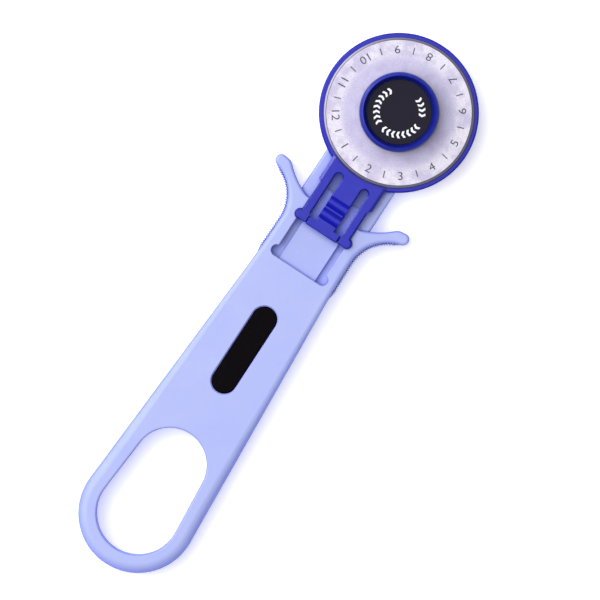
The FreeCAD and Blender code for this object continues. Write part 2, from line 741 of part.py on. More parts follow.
def make_bolt():
    """M4 bolt from the back: low head, square neck, plain shank."""
    head, shank = size["bolt_head_radius"], size["bolt_radius"]
    base, seat, tip = size["bolt_head_base"], size["bolt_head_top"], size["bolt_end_height"]
    dome, rise, point = size["bolt_head_dome"], size["bolt_head_rise"], size["bolt_point"]
    profile = [(ZERO, base), (head - dome, base), (head, base + rise), (head, seat), (shank, seat),
               (shank, tip - point), (shank - point, tip), (ZERO, tip)]
    body = turned("axle_bolt", profile)
    half = size["bolt_square"] / 2
    box(body, "square_neck", (-half, -half, seat - SINK), (half, half, size["bolt_square_top"]))
    return body


def blade_heights():
    """Underside of the blade, and of the washer over it."""
    under = size["boss_height"] + size["backing_thickness"] + size["stack_gap"]
    return under, under + size["blade_thickness"] + size["stack_gap"]


def make_bush():
    return turned("axle_bush", ring_profile(size["bolt_radius"] + size["fit_gap"], size["bush_radius"],
                                            size["boss_height"], size["bush_top"]))


def make_backing_washer():
    top = size["boss_height"] + size["backing_thickness"]
    return turned("blade_backing_washer", ring_profile(size["bush_radius"] + size["fit_gap"],
                                                       size["backing_radius"], size["boss_height"], top))


def make_blade():
    """A thin steel disc with the cutting edge ground from both faces."""
    low, _ = blade_heights()
    high = low + size["blade_thickness"]
    middle = low + size["blade_thickness"] / 2
    rim, shoulder = size["blade_radius"], size["blade_radius"] - size["bevel_width"]
    land = size["edge_land"] / 2
    bore = size["bush_radius"] + size["fit_gap"]
    return turned("blade", [(bore, low), (shoulder, low), (rim, middle - land), (rim, middle + land),
                            (shoulder, high), (bore, high)])


def make_pressure_washer():
    _, low = blade_heights()
    high = low + size["pressure_thickness"]
    outer, bevel = size["pressure_radius"], size["pressure_bevel"]
    bore = size["bush_radius"] + size["fit_gap"]
    return turned("blade_pressure_washer", [(bore, low), (outer, low), (outer, high - bevel),
                                            (outer - bevel, high), (bore, high)])


# --- knob -----------------------------------------------------------------------------------------

def make_spring_washer():
    low, rise, thick = size["spring_low"], size["spring_rise"], size["spring_thickness"]
    inner, outer = size["spring_inner"], size["spring_outer"]
    return turned("spring_washer", [(inner, low), (outer, low + rise), (outer, low + rise + thick),
                                    (inner, low + thick)])


def make_retaining_ring():
    return turned("washer_retaining_ring", ring_profile(size["retainer_inner"], size["spring_room_radius"],
                                                        size["retainer_base"], size["retainer_top"]))


def make_knob():
    """The round knob: rim round a sunken cap, room for the nut and the spring washer."""
    outer, base = size["knob_radius"], size["knob_base"]
    seat, room = size["cap_seat"], size["spring_room_top"]
    cap = size["cap_radius"] + size["inlay_play"]
    core, bevel = size["bolt_radius"] + size["hole_gap"] * 2, size["knob_base_bevel"]
    profile = [
        (size["spring_room_radius"], base),
        (outer - bevel, base),
        (outer, base + bevel),
        (outer, size["knob_side_top"]),
        (size["knob_crown_radius"], size["knob_top"]),
        (cap, size["rim_inner_top"]),
        (cap, seat),
        (core, seat),
        (core, room),
        (size["spring_room_radius"], room),
    ]
    body = turned("knob_body", profile, {3: size["knob_round"]})
    socket = outline(new_sketch(body, "nut_socket_outline", height=seat), hexagon())
    pocket = body.newObject("PartDesign::Pocket", "nut_socket")
    pocket.Profile = socket
    bind(pocket, "Length", size["nut_height"])
    return body


def hexagon():
    """The nut's outline, flats facing along Y."""
    corner = size["nut_across_flats"] / math.sqrt(3)
    turns = [math.radians(60 * step) for step in range(6)]
    return [(corner * math.cos(turn), corner * math.sin(turn)) for turn in turns]


def make_knob_nut():
    body = new_body("knob_nut")
    base = size["cap_seat"] - size["nut_height"]
    sketch = outline(new_sketch(body, "nut_outline", height=base), hexagon())
    pad(body, "nut_block", sketch, size["nut_height"])
    cylinder(body, "nut_bore", size["bolt_radius"] + size["fit_gap"], base - PAST, size["cap_seat"] + PAST,
             cut=True)
    return body


def make_knob_cap():
    low = size["cap_seat"]
    high = low + size["cap_thickness"]
    rim, bevel = size["cap_radius"], size["cap_bevel"]
    return turned("knob_cap", [(ZERO, low), (rim, low), (rim, high - bevel), (rim - bevel, high),
                               (ZERO, high)])


# --- guard ----------------------------------------------------------------------------------------

def make_guard():
    """The guard: ring under the blade, raised saddle behind it, thumb tab, arms, legs and rails."""
    base, ring_top, top = size["guard_base"], size["ring_top"], size["saddle_top"]
    body = new_body("guard_body")
    arm, root = size["arm_half"], -size["arm_root_back"]
    shoulder = size["shoulder_half"]
    box(body, "saddle", (-arm, root, base), (arm, -size["saddle_root_back"], top))
    box(body, "shoulders", (-shoulder, -size["shoulder_back"], size["shoulder_base"]),
        (shoulder, -size["saddle_root_back"], top))
    soften(body, "shoulder_corners", is_shoulder_corner, size["shoulder_corner"], "PartDesign::Chamfer")
    soften(body, "shoulder_bevel", is_shoulder_edge, size["shoulder_chamfer"], "PartDesign::Chamfer")
    box(body, "tab_end", (-size["slot_inner"], -size["tab_end_back"], base),
        (size["slot_inner"], root, top))
    box(body, "tab_foot", (-size["foot_half"], -size["tab_end_back"], base),
        (size["foot_half"], -size["slot_end_back"], top))
    soften(body, "saddle_edges", is_saddle_edge, size["guard_edge_round"])
    cylinder(body, "blade_clearance", size["saddle_front_radius"], ring_top, top + PAST, cut=True)
    ring = new_sketch(body, "ring_outline", height=base)
    circle = ring.addGeometry(Part.Circle(FreeCAD.Vector(), FreeCAD.Vector(0, 0, 1),
                                          size["guard_radius"].value))
    ring.addConstraint(Sketcher.Constraint("Coincident", circle, 3, -1, 1))
    rule = ring.addConstraint(Sketcher.Constraint("Radius", circle, size["guard_radius"].value))
    ring.setExpression(f"Constraints[{rule}]", size["guard_radius"].text)
    pad(body, "ring", ring, ring_top - base)
    soften(body, "ring_rim", is_ring_edge, size["ring_round"])
    for side, name in ((-1, "left"), (1, "right")):
        add_leg(body, side, name)
        cut_slot(body, side, name)
    soften(body, "slot_bevel", is_slot_edge, size["slot_chamfer"], "PartDesign::Chamfer")
    cut_axle_slot(body)
    for name in ("front", "rear"):
        scoop = body.newObject("PartDesign::SubtractiveCylinder", f"scoop_{name}")
        bind(scoop, "Radius", size["scoop_radius"])
        bind(scoop, "Height", size["slot_inner"] * 2 + SINK * 2)
        scoop.Placement = FreeCAD.Placement(FreeCAD.Vector(), FreeCAD.Rotation(FreeCAD.Vector(0, 1, 0), 90))
        move(scoop, -size["slot_inner"] - SINK, -size[f"scoop_{name}_back"],
             top + size["scoop_radius"] - size["scoop_depth"])
    return body


def cut_slot(body, side, name):
    """A slot between the thumb tab and an arm, with a round front end."""
    low, high = size["guard_base"] - PAST, size["saddle_top"] + PAST
    inner, outer = sorted((size["slot_inner"] * side, size["slot_outer"] * side), key=lambda s: s.value)
    radius = (outer - inner) / 2
    round_end = -size["slot_start_back"] - radius
    box(body, f"slot_{name}", (inner, -size["slot_end_back"], low), (outer, round_end, high), cut=True)
    cylinder(body, f"slot_end_{name}", radius, low, high, inner + radius, round_end, cut=True)


def is_slot_edge(edge):
    """Top edges of the slots, apart from the one across the thumb tab's foot."""
    span = edge.BoundBox
    near, far = sorted((abs(span.XMin), abs(span.XMax)))
    beside = near > size["slot_inner"].value - SLACK and far < size["slot_outer"].value + SLACK
    along = span.YLength > SLACK and span.YMax < -size["slot_start_back"].value + SLACK
    return lies_at_height(edge, size["saddle_top"]) and beside and along


def is_shoulder_corner(edge):
    span = edge.BoundBox
    upright = max(span.XLength, span.YLength) < SAME
    beside = abs(abs(span.XMin) - size["shoulder_half"].value) < SAME
    return upright and beside and abs(span.YMin + size["shoulder_back"].value) < SAME


def is_shoulder_edge(edge):
    span = edge.BoundBox
    side = abs(abs(span.Center.x) - size["shoulder_half"].value) < SAME
    return lies_at_height(edge, size["saddle_top"]) and side


def is_saddle_edge(edge):
    """Long top edges of the arms, and the tab's rear edges."""
    span = edge.BoundBox
    at_arm = abs(abs(span.Center.x) - size["arm_half"].value) < SAME
    at_end = abs(span.Center.y + size["tab_end_back"].value) < SAME
    return lies_at_height(edge, size["saddle_top"]) and (at_arm or at_end)


def is_ring_edge(edge):
    curve = edge.Curve
    full = isinstance(curve, Part.Circle) and abs(curve.Radius - size["guard_radius"].value) < SAME
    return full and lies_at_height(edge, size["ring_top"])


def add_leg(body, side, name):
    """A leg in the side groove, with the rail that hooks under the channel's wall."""
    inner, outer, rail = (size[key] * side for key in ("leg_inner", "leg_outer", "rail_half"))
    left, right = sorted((inner, outer), key=lambda s: s.value)
    box(body, f"leg_{name}", (left, -size["arm_root_back"], size["leg_base"]),
        (right, -size["leg_start_back"], size["guard_base"] + SINK))
    left, right = sorted((outer - SINK * side, rail), key=lambda s: s.value)
    box(body, f"rail_{name}", (left, -size["rail_end_back"], size["leg_base"]),
        (right, -size["rail_start_back"], size["rail_top"]))


def cut_axle_slot(body):
    """The slot that the boss runs along, closed at both ends."""
    half, travel = size["axle_slot_half"], size["guard_travel"]
    low, high = size["guard_base"] - PAST, size["ring_top"] + SINK
    box(body, "axle_slot", (-half, ZERO, low), (half, travel, high), cut=True)
    for name, y in (("rear", ZERO), ("front", travel)):
        cylinder(body, f"axle_slot_{name}", half, low, high, y=y, cut=True)


def make_detent_tip(side, name):
    """The sprung end of a side arm, with its round bump."""
    body = new_body(f"detent_tip_{name}")
    inner, outer = sorted((size["slot_outer"] * side, size["arm_half"] * side), key=lambda s: s.value)
    box(body, f"tip_{name}", (inner, -size["arm_tip_back"], size["guard_base"]),
        (outer, -size["arm_root_back"], size["saddle_top"]))
    cylinder(body, f"bump_{name}", size["bump_radius"], size["guard_base"], size["saddle_top"],
             size["notch_half"] * side, -size["notch_back"])
    soften(body, f"tip_edge_{name}", is_tip_edge, size["guard_edge_round"])
    return body


def is_tip_edge(edge):
    """Top edges of a tip, apart from the one along the slot and the one at the arm's root."""
    middle = edge.BoundBox.Center
    along_slot = abs(abs(middle.x) - size["slot_outer"].value) < SAME
    at_root = abs(middle.y + size["arm_root_back"].value) < SAME
    return lies_at_height(edge, size["saddle_top"]) and not along_slot and not at_root


# --- build and write ------------------------------------------------------------------------------

def build():
    parts = [
        make_front_shell(),
        make_back_shell(),
        make_screws(),
        make_inlay(),
        make_bolt(),
        make_bush(),
        make_backing_washer(),
        make_blade(),
        make_pressure_washer(),
        make_spring_washer(),
        make_retaining_ring(),
        make_knob(),
        make_knob_nut(),
        make_knob_cap(),
        make_guard(),
        make_detent_tip(-1, "left"),
        make_detent_tip(1, "right"),
    ]
    axle_from_middle = size["overall_length"] / 2 - size["guard_radius"]
    for part in parts:
        part.Label = part.Name
        move(part, y=axle_from_middle)
    document.recompute()
    return parts


def check(parts):
    """Stop if anything in the document failed, or a sub-part has no sound solid."""
    faults = [item.Name for item in document.Objects if {"Invalid", "Error"} & set(item.State)]
    for part in parts:
        shape = part.Shape
        if shape.isNull() or not shape.isValid() or not shape.Solids:
            faults.append(part.Label)
    if faults:
        raise RuntimeError("failed: " + ", ".join(faults))


def write(parts):
    os.makedirs("parts", exist_ok=True)
    for part in parts:
        part.Shape.exportStep(f"parts/{part.Label}.step")
        print(f"{part.Label}: {len(part.Shape.Solids)} solid(s), {part.Shape.Volume:.1f} mm3")


sub_parts = build()
check(sub_parts)
write(sub_parts)
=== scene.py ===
import math

import bmesh
import bpy
from mathutils import Matrix, Vector


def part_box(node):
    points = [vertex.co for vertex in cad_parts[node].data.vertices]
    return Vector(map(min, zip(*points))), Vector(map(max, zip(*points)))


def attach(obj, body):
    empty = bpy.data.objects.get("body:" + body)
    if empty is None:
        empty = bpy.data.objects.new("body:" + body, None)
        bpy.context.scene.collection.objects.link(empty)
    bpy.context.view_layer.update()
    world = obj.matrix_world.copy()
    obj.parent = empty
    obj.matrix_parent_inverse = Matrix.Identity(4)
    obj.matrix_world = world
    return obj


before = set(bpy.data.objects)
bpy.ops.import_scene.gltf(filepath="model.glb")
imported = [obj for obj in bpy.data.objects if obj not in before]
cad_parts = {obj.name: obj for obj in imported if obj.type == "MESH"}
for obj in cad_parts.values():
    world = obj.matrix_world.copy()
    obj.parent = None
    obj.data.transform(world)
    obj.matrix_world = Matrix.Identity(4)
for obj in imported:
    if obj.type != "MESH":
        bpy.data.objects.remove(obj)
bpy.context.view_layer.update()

# Looks of a 28 mm rotary paper trimmer. Metres throughout; +Y is the blade end, +Z the knob side.

MM = 0.001


def corners(node):
    low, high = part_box(node)
    return Vector(low), Vector(high)


BLADE_LOW, BLADE_HIGH = corners("blade")
CAP_LOW, CAP_HIGH = corners("knob_cap")
AXLE = (BLADE_LOW + BLADE_HIGH) / 2
BLADE_RADIUS = (BLADE_HIGH.x - BLADE_LOW.x) / 2
BEVEL_RADIUS = BLADE_RADIUS - 0.38 * MM    # where the ground edge starts
CAP_RADIUS = (CAP_HIGH.x - CAP_LOW.x) / 2


# --- node helpers ---------------------------------------------------------------------------------

class Shader:
    """A material with a Principled shader, and short ways to add nodes to it."""

    def __init__(self, name):
        self.material = bpy.data.materials.new(name)
        self.material.use_nodes = True
        self.tree = self.material.node_tree
        self.surface = self.tree.nodes["Principled BSDF"]
        self.place = self.add("ShaderNodeTexCoord").outputs["Object"]

    def add(self, kind, inputs=None, **settings):
        node = self.tree.nodes.new(kind)
        for name, value in settings.items():
            setattr(node, name, value)
        for name, value in (inputs or {}).items():
            self.feed(node, name, value)
        return node

    def feed(self, node, name, value):
        socket = node.inputs[name]
        if isinstance(value, bpy.types.NodeSocket):
            self.tree.links.new(value, socket)
        else:
            socket.default_value = value

    def set(self, **values):
        """Values of the Principled sockets, with _ for the spaces in their names."""
        for name, value in values.items():
            self.feed(self.surface, name.replace("_", " "), value)

    def math(self, operation, a, b=0.0, c=0.0):
        return self.add("ShaderNodeMath", {0: a, 1: b, 2: c}, operation=operation).outputs[0]

    def noise(self, size, detail=2.0, roughness=0.5):
        """Noise whose blobs are about size metres across, from 0 to 1."""
        node = self.add("ShaderNodeTexNoise", {"Vector": self.place, "Scale": 1 / size,
                                               "Detail": detail, "Roughness": roughness})
        return node.outputs["Fac"]

    def ramp(self, factor, low, high):
        """Stretch a factor so that low becomes 0 and high becomes 1, clamped."""
        node = self.add("ShaderNodeMapRange", {"Value": factor, "From Min": low, "From Max": high})
        return node.outputs["Result"]

    def between(self, factor, low, high):
        """A value from low to high as the factor goes from 0 to 1."""
        node = self.add("ShaderNodeMapRange", {"Value": factor, "To Min": low, "To Max": high})
        return node.outputs["Result"]

    def mix(self, factor, first, second):
        node = self.add("ShaderNodeMix", data_type="RGBA")
        self.feed(node, 0, factor)
        for socket, colour in ((6, first), (7, second)):
            self.feed(node, socket, colour)
        return node.outputs[2]

    def bump(self, height, depth, strength):
        """A normal for relief of the given depth, where the height goes from 0 to 1."""
        node = self.add("ShaderNodeBump", {"Height": height, "Distance": depth, "Strength": strength})
        return node.outputs["Normal"]

    def facing_up(self):
        """How far a face looks up: 1 on flat tops, 0 on upright faces, -1 underneath."""
        normal = self.add("ShaderNodeNewGeometry").outputs["Normal"]
        return self.add("ShaderNodeSeparateXYZ", {0: normal}).outputs[2]

    def edge(self, width):
        """1 on sharp convex or concave edges, 0 on flat stretches."""
        rounded = self.add("ShaderNodeBevel", {"Radius": width}, samples=6).outputs["Normal"]
        flat = self.add("ShaderNodeNewGeometry").outputs["Normal"]
        turned = self.add("ShaderNodeVectorMath", {0: rounded, 1: flat}, operation="DOT_PRODUCT")
        return self.ramp(turned.outputs["Value"], 0.995, 0.88)

    def openness(self, reach, own_only):
        """1 in the open, less where surfaces close in within reach: the piece's own, or everything's."""
        node = self.add("ShaderNodeAmbientOcclusion", {"Distance": reach}, only_local=own_only, samples=6)
        return node.outputs["AO"]

    def crevice(self, reach):
        """1 deep in a piece's own grooves and inner corners, 0 in the open: the mask for the shade painted
        there.
        """
        return self.ramp(self.openness(reach, own_only=True), 0.93, 0.4)

    def sheltered(self, reach):
        """1 on upward faces that other pieces crowd in or cover, 0 in the open: the mask for the shade
        painted there.
        """
        among_all = self.openness(reach, own_only=False)
        left_open = self.math("DIVIDE", among_all, self.openness(reach, own_only=True))
        covered = self.ramp(self.math("SUBTRACT", 1.0, left_open), 0.45, 0.62)
        return self.math("MULTIPLY", covered, self.ramp(self.facing_up(), 0.7, 0.95))

    def steepness(self):
        """0 on faces that lie flat, 0.8 on upright ones: the mask for painted shade on steep sides."""
        return self.math("MULTIPLY", self.ramp(self.math("ABSOLUTE", self.facing_up()), 0.97, 0.45), 0.8)

    def radius_from_axle(self):
        """Distance from the blade's axis."""
        centred = self.add("ShaderNodeVectorMath", {0: self.place, 1: AXLE}, operation="SUBTRACT")
        parts = self.add("ShaderNodeSeparateXYZ", {0: centred.outputs[0]}).outputs
        flat = self.add("ShaderNodeCombineXYZ", {0: parts[0], 1: parts[1]}).outputs[0]
        return self.add("ShaderNodeVectorMath", {0: flat}, operation="LENGTH").outputs["Value"]


def srgb(red, green, blue):
    """A colour given as the eye reads it, 0 to 255, made linear."""
    def linear(value):
        value /= 255
        return value / 12.92 if value <= 0.04045 else ((value + 0.055) / 1.055) ** 2.4
    return linear(red), linear(green), linear(blue), 1.0


# --- materials ------------------------------------------------------------------------------------

def moulded_plastic(name, colour, pale, deep, crevice_shade_colour, roughness, grain, shade=None):
    """Moulded plastic: specks, clouds, painted shade on steep sides, painted shade in its own grooves, pale
    edges that are partly wear and partly painted highlight, grain.

    A shade is the colour painted as shade on the upward places that other pieces cover.
    """
    shader = Shader(name)
    speck = shader.ramp(shader.noise(0.5 * MM, detail=2), 0.6, 0.8)
    tone = shader.mix(shader.math("MULTIPLY", speck, 0.2), colour, pale)
    cloud = shader.ramp(shader.noise(9 * MM, detail=3), 0.3, 0.7)
    # deep colour in random clouds, and as painted shade on steep sides
    tone = shader.mix(shader.math("MULTIPLY_ADD", cloud, 0.12, shader.steepness()), tone, deep)
    # painted shade in the piece's own grooves and inner corners
    tone = shader.mix(shader.math("MULTIPLY", shader.crevice(0.4 * MM), 0.75), tone, crevice_shade_colour)
    if shade:
        # painted shade where other pieces cover or crowd in, as in the slots under the guard
        tone = shader.mix(shader.sheltered(3 * MM), tone, shade)
    # pale edges, patchy: partly wear and partly painted highlight
    wear_and_edge_highlight = shader.math("MULTIPLY", shader.edge(0.2 * MM), shader.ramp(shader.noise(3 * MM), 0.35, 0.7))
    shader.set(Base_Color=shader.mix(shader.math("MULTIPLY", wear_and_edge_highlight, 0.4), tone, pale))
    polish = shader.noise(1.6 * MM, detail=4)
    shader.set(Roughness=shader.between(polish, roughness - 0.07, roughness + 0.07))
    shader.set(Normal=shader.bump(shader.noise(grain, detail=3, roughness=0.6), 0.006 * MM, 0.6))
    shader.set(Specular_IOR_Level=0.3, IOR=1.46)
    return shader.material


def blade_steel():
    """Hardened strip steel: blotches, ground rings, a darker middle with an uneven border, a smooth bevel.
    """
    shader = Shader("blade_steel")
    radius = shader.radius_from_axle()
    rings = shader.add("ShaderNodeTexNoise", {"W": radius, "Scale": 9 / MM, "Detail": 4.0},
                       noise_dimensions="1D").outputs["Fac"]
    blotch = shader.noise(3.4 * MM, detail=4, roughness=0.62)
    grain = shader.noise(0.22 * MM, detail=3, roughness=0.7)
    uneven = shader.math("MULTIPLY_ADD", blotch, 5.4 * MM, radius)
    middle = shader.ramp(uneven, 0.97 * BLADE_RADIUS, 0.89 * BLADE_RADIUS)
    tone = shader.mix(middle, srgb(216, 211, 220), srgb(187, 182, 207))
    stain = shader.math("MULTIPLY", shader.ramp(blotch, 0.44, 0.6), 0.7)
    tone = shader.mix(stain, tone, srgb(170, 163, 194))
    speckle = shader.math("MULTIPLY", shader.ramp(grain, 0.4, 0.7), 0.55)
    tone = shader.mix(speckle, tone, srgb(146, 141, 170))
    tone = shader.mix(shader.math("MULTIPLY", rings, 0.2), tone, srgb(140, 136, 160))
    bevel = shader.ramp(radius, BEVEL_RADIUS, BEVEL_RADIUS + 0.03 * MM)
    tone = shader.mix(bevel, tone, srgb(132, 128, 144))
    off_border = shader.math("ABSOLUTE", shader.math("SUBTRACT", radius, BEVEL_RADIUS))
    border = shader.ramp(off_border, 0.09 * MM, 0.03 * MM)
    shader.set(Base_Color=shader.mix(border, tone, srgb(72, 66, 82)), Metallic=0.5)
    flat = shader.between(rings, 0.48, 0.58)
    shader.set(Roughness=shader.math("MULTIPLY_ADD", bevel, -0.22, flat))
    shader.set(Normal=shader.bump(grain, 0.002 * MM, 0.7))
    return shader.material


def zinc_steel():
    """Zinc-plated steel, a little cloudy."""
    shader = Shader("zinc_steel")
    speck = shader.noise(0.35 * MM, detail=4)
    shader.set(Base_Color=shader.mix(speck, srgb(205, 205, 212), srgb(150, 150, 158)), Metallic=1.0)
    shader.set(Roughness=shader.between(speck, 0.26, 0.46))
    shader.set(Normal=shader.bump(speck, 0.002 * MM, 0.5))
    return shader.material


def brass():
    """Turned brass with patches of tarnish."""
    shader = Shader("turned_brass")
    tarnish = shader.noise(0.8 * MM, detail=3)
    shader.set(Base_Color=shader.mix(tarnish, srgb(214, 178, 96), srgb(172, 132, 62)), Metallic=1.0)
    shader.set(Roughness=shader.between(tarnish, 0.2, 0.4))
    return shader.material


def black_rubber():
    """Soft black rubber with a matt, slightly dusty skin."""
    shader = Shader("inlay_rubber")
    dust = shader.noise(0.8 * MM, detail=5, roughness=0.65)
    shader.set(Base_Color=shader.mix(shader.ramp(dust, 0.5, 0.8), srgb(5, 2, 5), srgb(13, 9, 13)))
    shader.set(Roughness=shader.between(dust, 0.42, 0.62), Specular_IOR_Level=0.03)
    shader.set(Normal=shader.bump(shader.noise(0.12 * MM), 0.008 * MM, 0.6))
    return shader.material


def cap_black():
    """Satin near-black film of the knob's cap."""
    shader = Shader("cap_black")
    cloud = shader.noise(1.2 * MM, detail=4)
    shader.set(Base_Color=shader.mix(cloud, srgb(20, 18, 34), srgb(28, 25, 42)), Specular_IOR_Level=0.09)
    shader.set(Roughness=shader.between(cloud, 0.38, 0.52))
    shader.set(Normal=shader.bump(shader.noise(0.1 * MM), 0.004 * MM, 0.5))
    return shader.material


def ink(name, colour, faded, coverage):
    """Printed ink, a little uneven."""
    shader = Shader(name)
    patch = shader.noise(0.25 * MM, detail=4, roughness=0.7)
    shader.set(Base_Color=shader.mix(shader.ramp(patch, coverage, 0.85), colour, faded))
    shader.set(Roughness=shader.between(patch, 0.45, 0.65))
    return shader.material


def dress(material, *nodes):
    """Put a material in every slot of the given CAD nodes."""
    for name in nodes:
        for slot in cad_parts[name].material_slots:
            slot.material = material


def dress_frame():
    # colour, pale (specks; edges partly wear, partly painted highlight), deep (clouds; painted shade on
    # steep sides), painted crevice shade, roughness, grain
    handle = moulded_plastic("handle_plastic", srgb(164, 173, 222), srgb(196, 204, 235), srgb(98, 116, 232),
                             srgb(76, 86, 196), 0.42, 0.16 * MM, shade=srgb(84, 100, 226))
    blue = moulded_plastic("guard_plastic", srgb(3, 12, 164), srgb(46, 58, 204), srgb(5, 12, 120),
                           srgb(4, 6, 70), 0.34, 0.2 * MM)
    knob = moulded_plastic("knob_plastic", srgb(24, 38, 152), srgb(64, 78, 204), srgb(8, 18, 116),
                           srgb(4, 6, 60), 0.36, 0.2 * MM)
    dress(handle, "handle_front_shell", "handle_back_shell")
    dress(blue, "guard_body", "detent_tip_left", "detent_tip_right")
    dress(knob, "knob_body")
    dress(blade_steel(), "blade")
    dress(zinc_steel(), "handle_screws", "axle_bolt", "blade_backing_washer", "blade_pressure_washer",
          "spring_washer", "washer_retaining_ring")
    dress(brass(), "axle_bush", "knob_nut")
    dress(black_rubber(), "grip_inlay")
    dress(cap_black(), "knob_cap")


# --- pieces in general ----------------------------------------------------------------------------

def finish_piece(piece, material, body):
    piece.data.materials.clear()
    piece.data.materials.append(material)
    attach(piece, body)
    return piece


def prism(mesh, outline, low, high):
    """Add a closed prism over an outline given anticlockwise."""
    bottom = [mesh.verts.new((x, y, low)) for x, y in outline]
    top = [mesh.verts.new((x, y, high)) for x, y in outline]
    mesh.faces.new(list(reversed(bottom)))
    mesh.faces.new(top)
    count = len(outline)
    for n in range(count):
        after = (n + 1) % count
        mesh.faces.new((bottom[n], bottom[after], top[after], top[n]))


def piece_from(mesh, name):
    data = bpy.data.meshes.new(name)
    mesh.to_mesh(data)
    mesh.free()
    piece = bpy.data.objects.new(name, data)
    bpy.context.scene.collection.objects.link(piece)
    return piece


# --- ribbed finger rests behind the ears ----------------------------------------------------------

# each strip follows the hollow behind an ear, an arc about a point beside the handle, then the waist
HOLLOW_OUT = 15.94 * MM       # the arc's centre, out from the middle line
HOLLOW_BACK = 28.3 * MM       # the same, back from the axle
HOLLOW_RADIUS = 8.15 * MM
HOLLOW_SWEEP = math.radians(76)
WAIST_RUN = 8 * MM
RIB_PITCH = 0.5 * MM
RIB_SAMPLES = 10              # sections to a rib
RIB_FADE = 3 * RIB_SAMPLES    # sections over which the strip grows out of the wall at its ends
RIB_ROOT = 0.25 * MM          # depth inside the wall
RIB_VALLEY = 0.22 * MM        # how far the strip stands out between ribs
RIB_CREST = 0.5 * MM          # and at a rib
RIB_FOOT = 2.7 * MM           # height of its lower edge
RIB_VALLEY_TOP = 3.6 * MM     # height of its upper edge between ribs
RIB_TOP = 5.25 * MM           # and at a rib


def wall_path(side):
    """Points and outward directions on the handle's wall, from behind the ear's tip to the waist and on."""
    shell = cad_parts["handle_front_shell"]
    centre = Vector((side * HOLLOW_OUT, AXLE.y - HOLLOW_BACK, RIB_FOOT))
    turn = RIB_PITCH / RIB_SAMPLES / HOLLOW_RADIUS
    rays = []
    for n in range(int(HOLLOW_SWEEP / turn)):
        angle = math.pi - HOLLOW_SWEEP + n * turn
        rays.append((centre, Vector((side * math.cos(angle), math.sin(angle), 0))))
    for n in range(int(WAIST_RUN / RIB_PITCH * RIB_SAMPLES)):
        rays.append((centre - Vector((0, n * RIB_PITCH / RIB_SAMPLES, 0)), Vector((-side, 0, 0))))
    path = []
    for start, direction in rays:
        hit, place, _, _ = shell.ray_cast(start, direction)
        if hit:
            path.append((place, -direction))
    return path


def make_ribs(side, name, material):
    """A strip of upright ribs for finger and thumb, on the wall behind an ear."""
    mesh = bmesh.new()
    sections = []
    path = wall_path(side)
    for n, (place, out) in enumerate(path):
        crest = min(max(0.5 - 0.9 * math.cos(2 * math.pi * n / RIB_SAMPLES), 0), 1)
        grown = min(1, n / RIB_FADE, (len(path) - 1 - n) / RIB_FADE)
        reach = grown * (RIB_VALLEY + (RIB_CREST - RIB_VALLEY) * crest)
        top = RIB_VALLEY_TOP + (RIB_TOP - RIB_VALLEY_TOP) * crest
        inner, outer = place - out * RIB_ROOT, place + out * reach
        outline = (inner, RIB_FOOT), (outer, RIB_FOOT), (outer, top), (inner, top)
        sections.append([mesh.verts.new((spot.x, spot.y, height)) for spot, height in outline])
    for near, far in zip(sections, sections[1:]):
        for a in range(4):
            b = (a + 1) % 4
            mesh.faces.new((near[a], near[b], far[b], far[a]))
    mesh.faces.new(sections[0])
    mesh.faces.new(sections[-1])
    bmesh.ops.recalc_face_normals(mesh, faces=mesh.faces)
    return finish_piece(piece_from(mesh, name), material, "handle")


def make_finger_rests():
    # the same kinds of colour as the handle's, with painted shade on steep sides and in grooves
    plastic = moulded_plastic("rib_plastic", srgb(178, 186, 232), srgb(200, 209, 240), srgb(118, 132, 230),
                              srgb(80, 84, 166), 0.42, 0.16 * MM)
    make_ribs(-1, "finger_ribs_left", plastic)
    make_ribs(1, "finger_ribs_right", plastic)


# --- printed marks --------------------------------------------------------------------------------

NUMERAL_TOP = 0.79 * BLADE_RADIUS
NUMERAL_BASE = 0.897 * BLADE_RADIUS
NUMERAL_STRETCH = 1.12        # how much wider the numerals are than the font's
TICK_INNER = 0.795 * BLADE_RADIUS
TICK_OUTER = 0.89 * BLADE_RADIUS
TICK_WIDTH = 0.2 * MM
INK_THICKNESS = 0.012 * MM
FIRST_ANGLE = math.radians(-115.6)             # where the 1 stands
STEP = math.radians(30)
CHEVRON_INNER = 0.6 * CAP_RADIUS
CHEVRON_OUTER = 0.8 * CAP_RADIUS
CHEVRON_LEAN = 0.3 * MM                        # how far its point runs ahead of its ends
CHEVRON_WIDTH = 0.42 * MM
CHEVRON_STEP = 13                              # degrees
CHEVRON_GROUPS = ((66, 4), (-6, 8), (240, 8))  # where each group starts, in degrees, and its chevrons


def weld(data):
    """Join the loose edges that text leaves between a glyph's faces and its sides."""
    touching = 1e-6
    mesh = bmesh.new()
    mesh.from_mesh(data)
    bmesh.ops.remove_doubles(mesh, verts=mesh.verts, dist=touching)
    bmesh.ops.dissolve_degenerate(mesh, edges=mesh.edges, dist=touching)
    mesh.to_mesh(data)
    mesh.free()


def turned_outline(points, angle):
    """Points in (outwards, sideways) turned to an angle about the axle."""
    along = Vector((math.cos(angle), math.sin(angle)))
    side = Vector((-along.y, along.x))
    return [tuple(AXLE.xy + along * out + side * over) for out, over in points]


def make_ticks(material):
    """Twelve short radial strokes, halfway between the numerals."""
    mesh = bmesh.new()
    half = TICK_WIDTH / 2
    stroke = [(TICK_INNER, half), (TICK_INNER, -half), (TICK_OUTER, -half), (TICK_OUTER, half)]
    for number in range(12):
        angle = FIRST_ANGLE + STEP * (number + 0.5)
        prism(mesh, turned_outline(stroke, angle), BLADE_HIGH.z, BLADE_HIGH.z + INK_THICKNESS)
    return finish_piece(piece_from(mesh, "blade_ticks"), material, "blade")


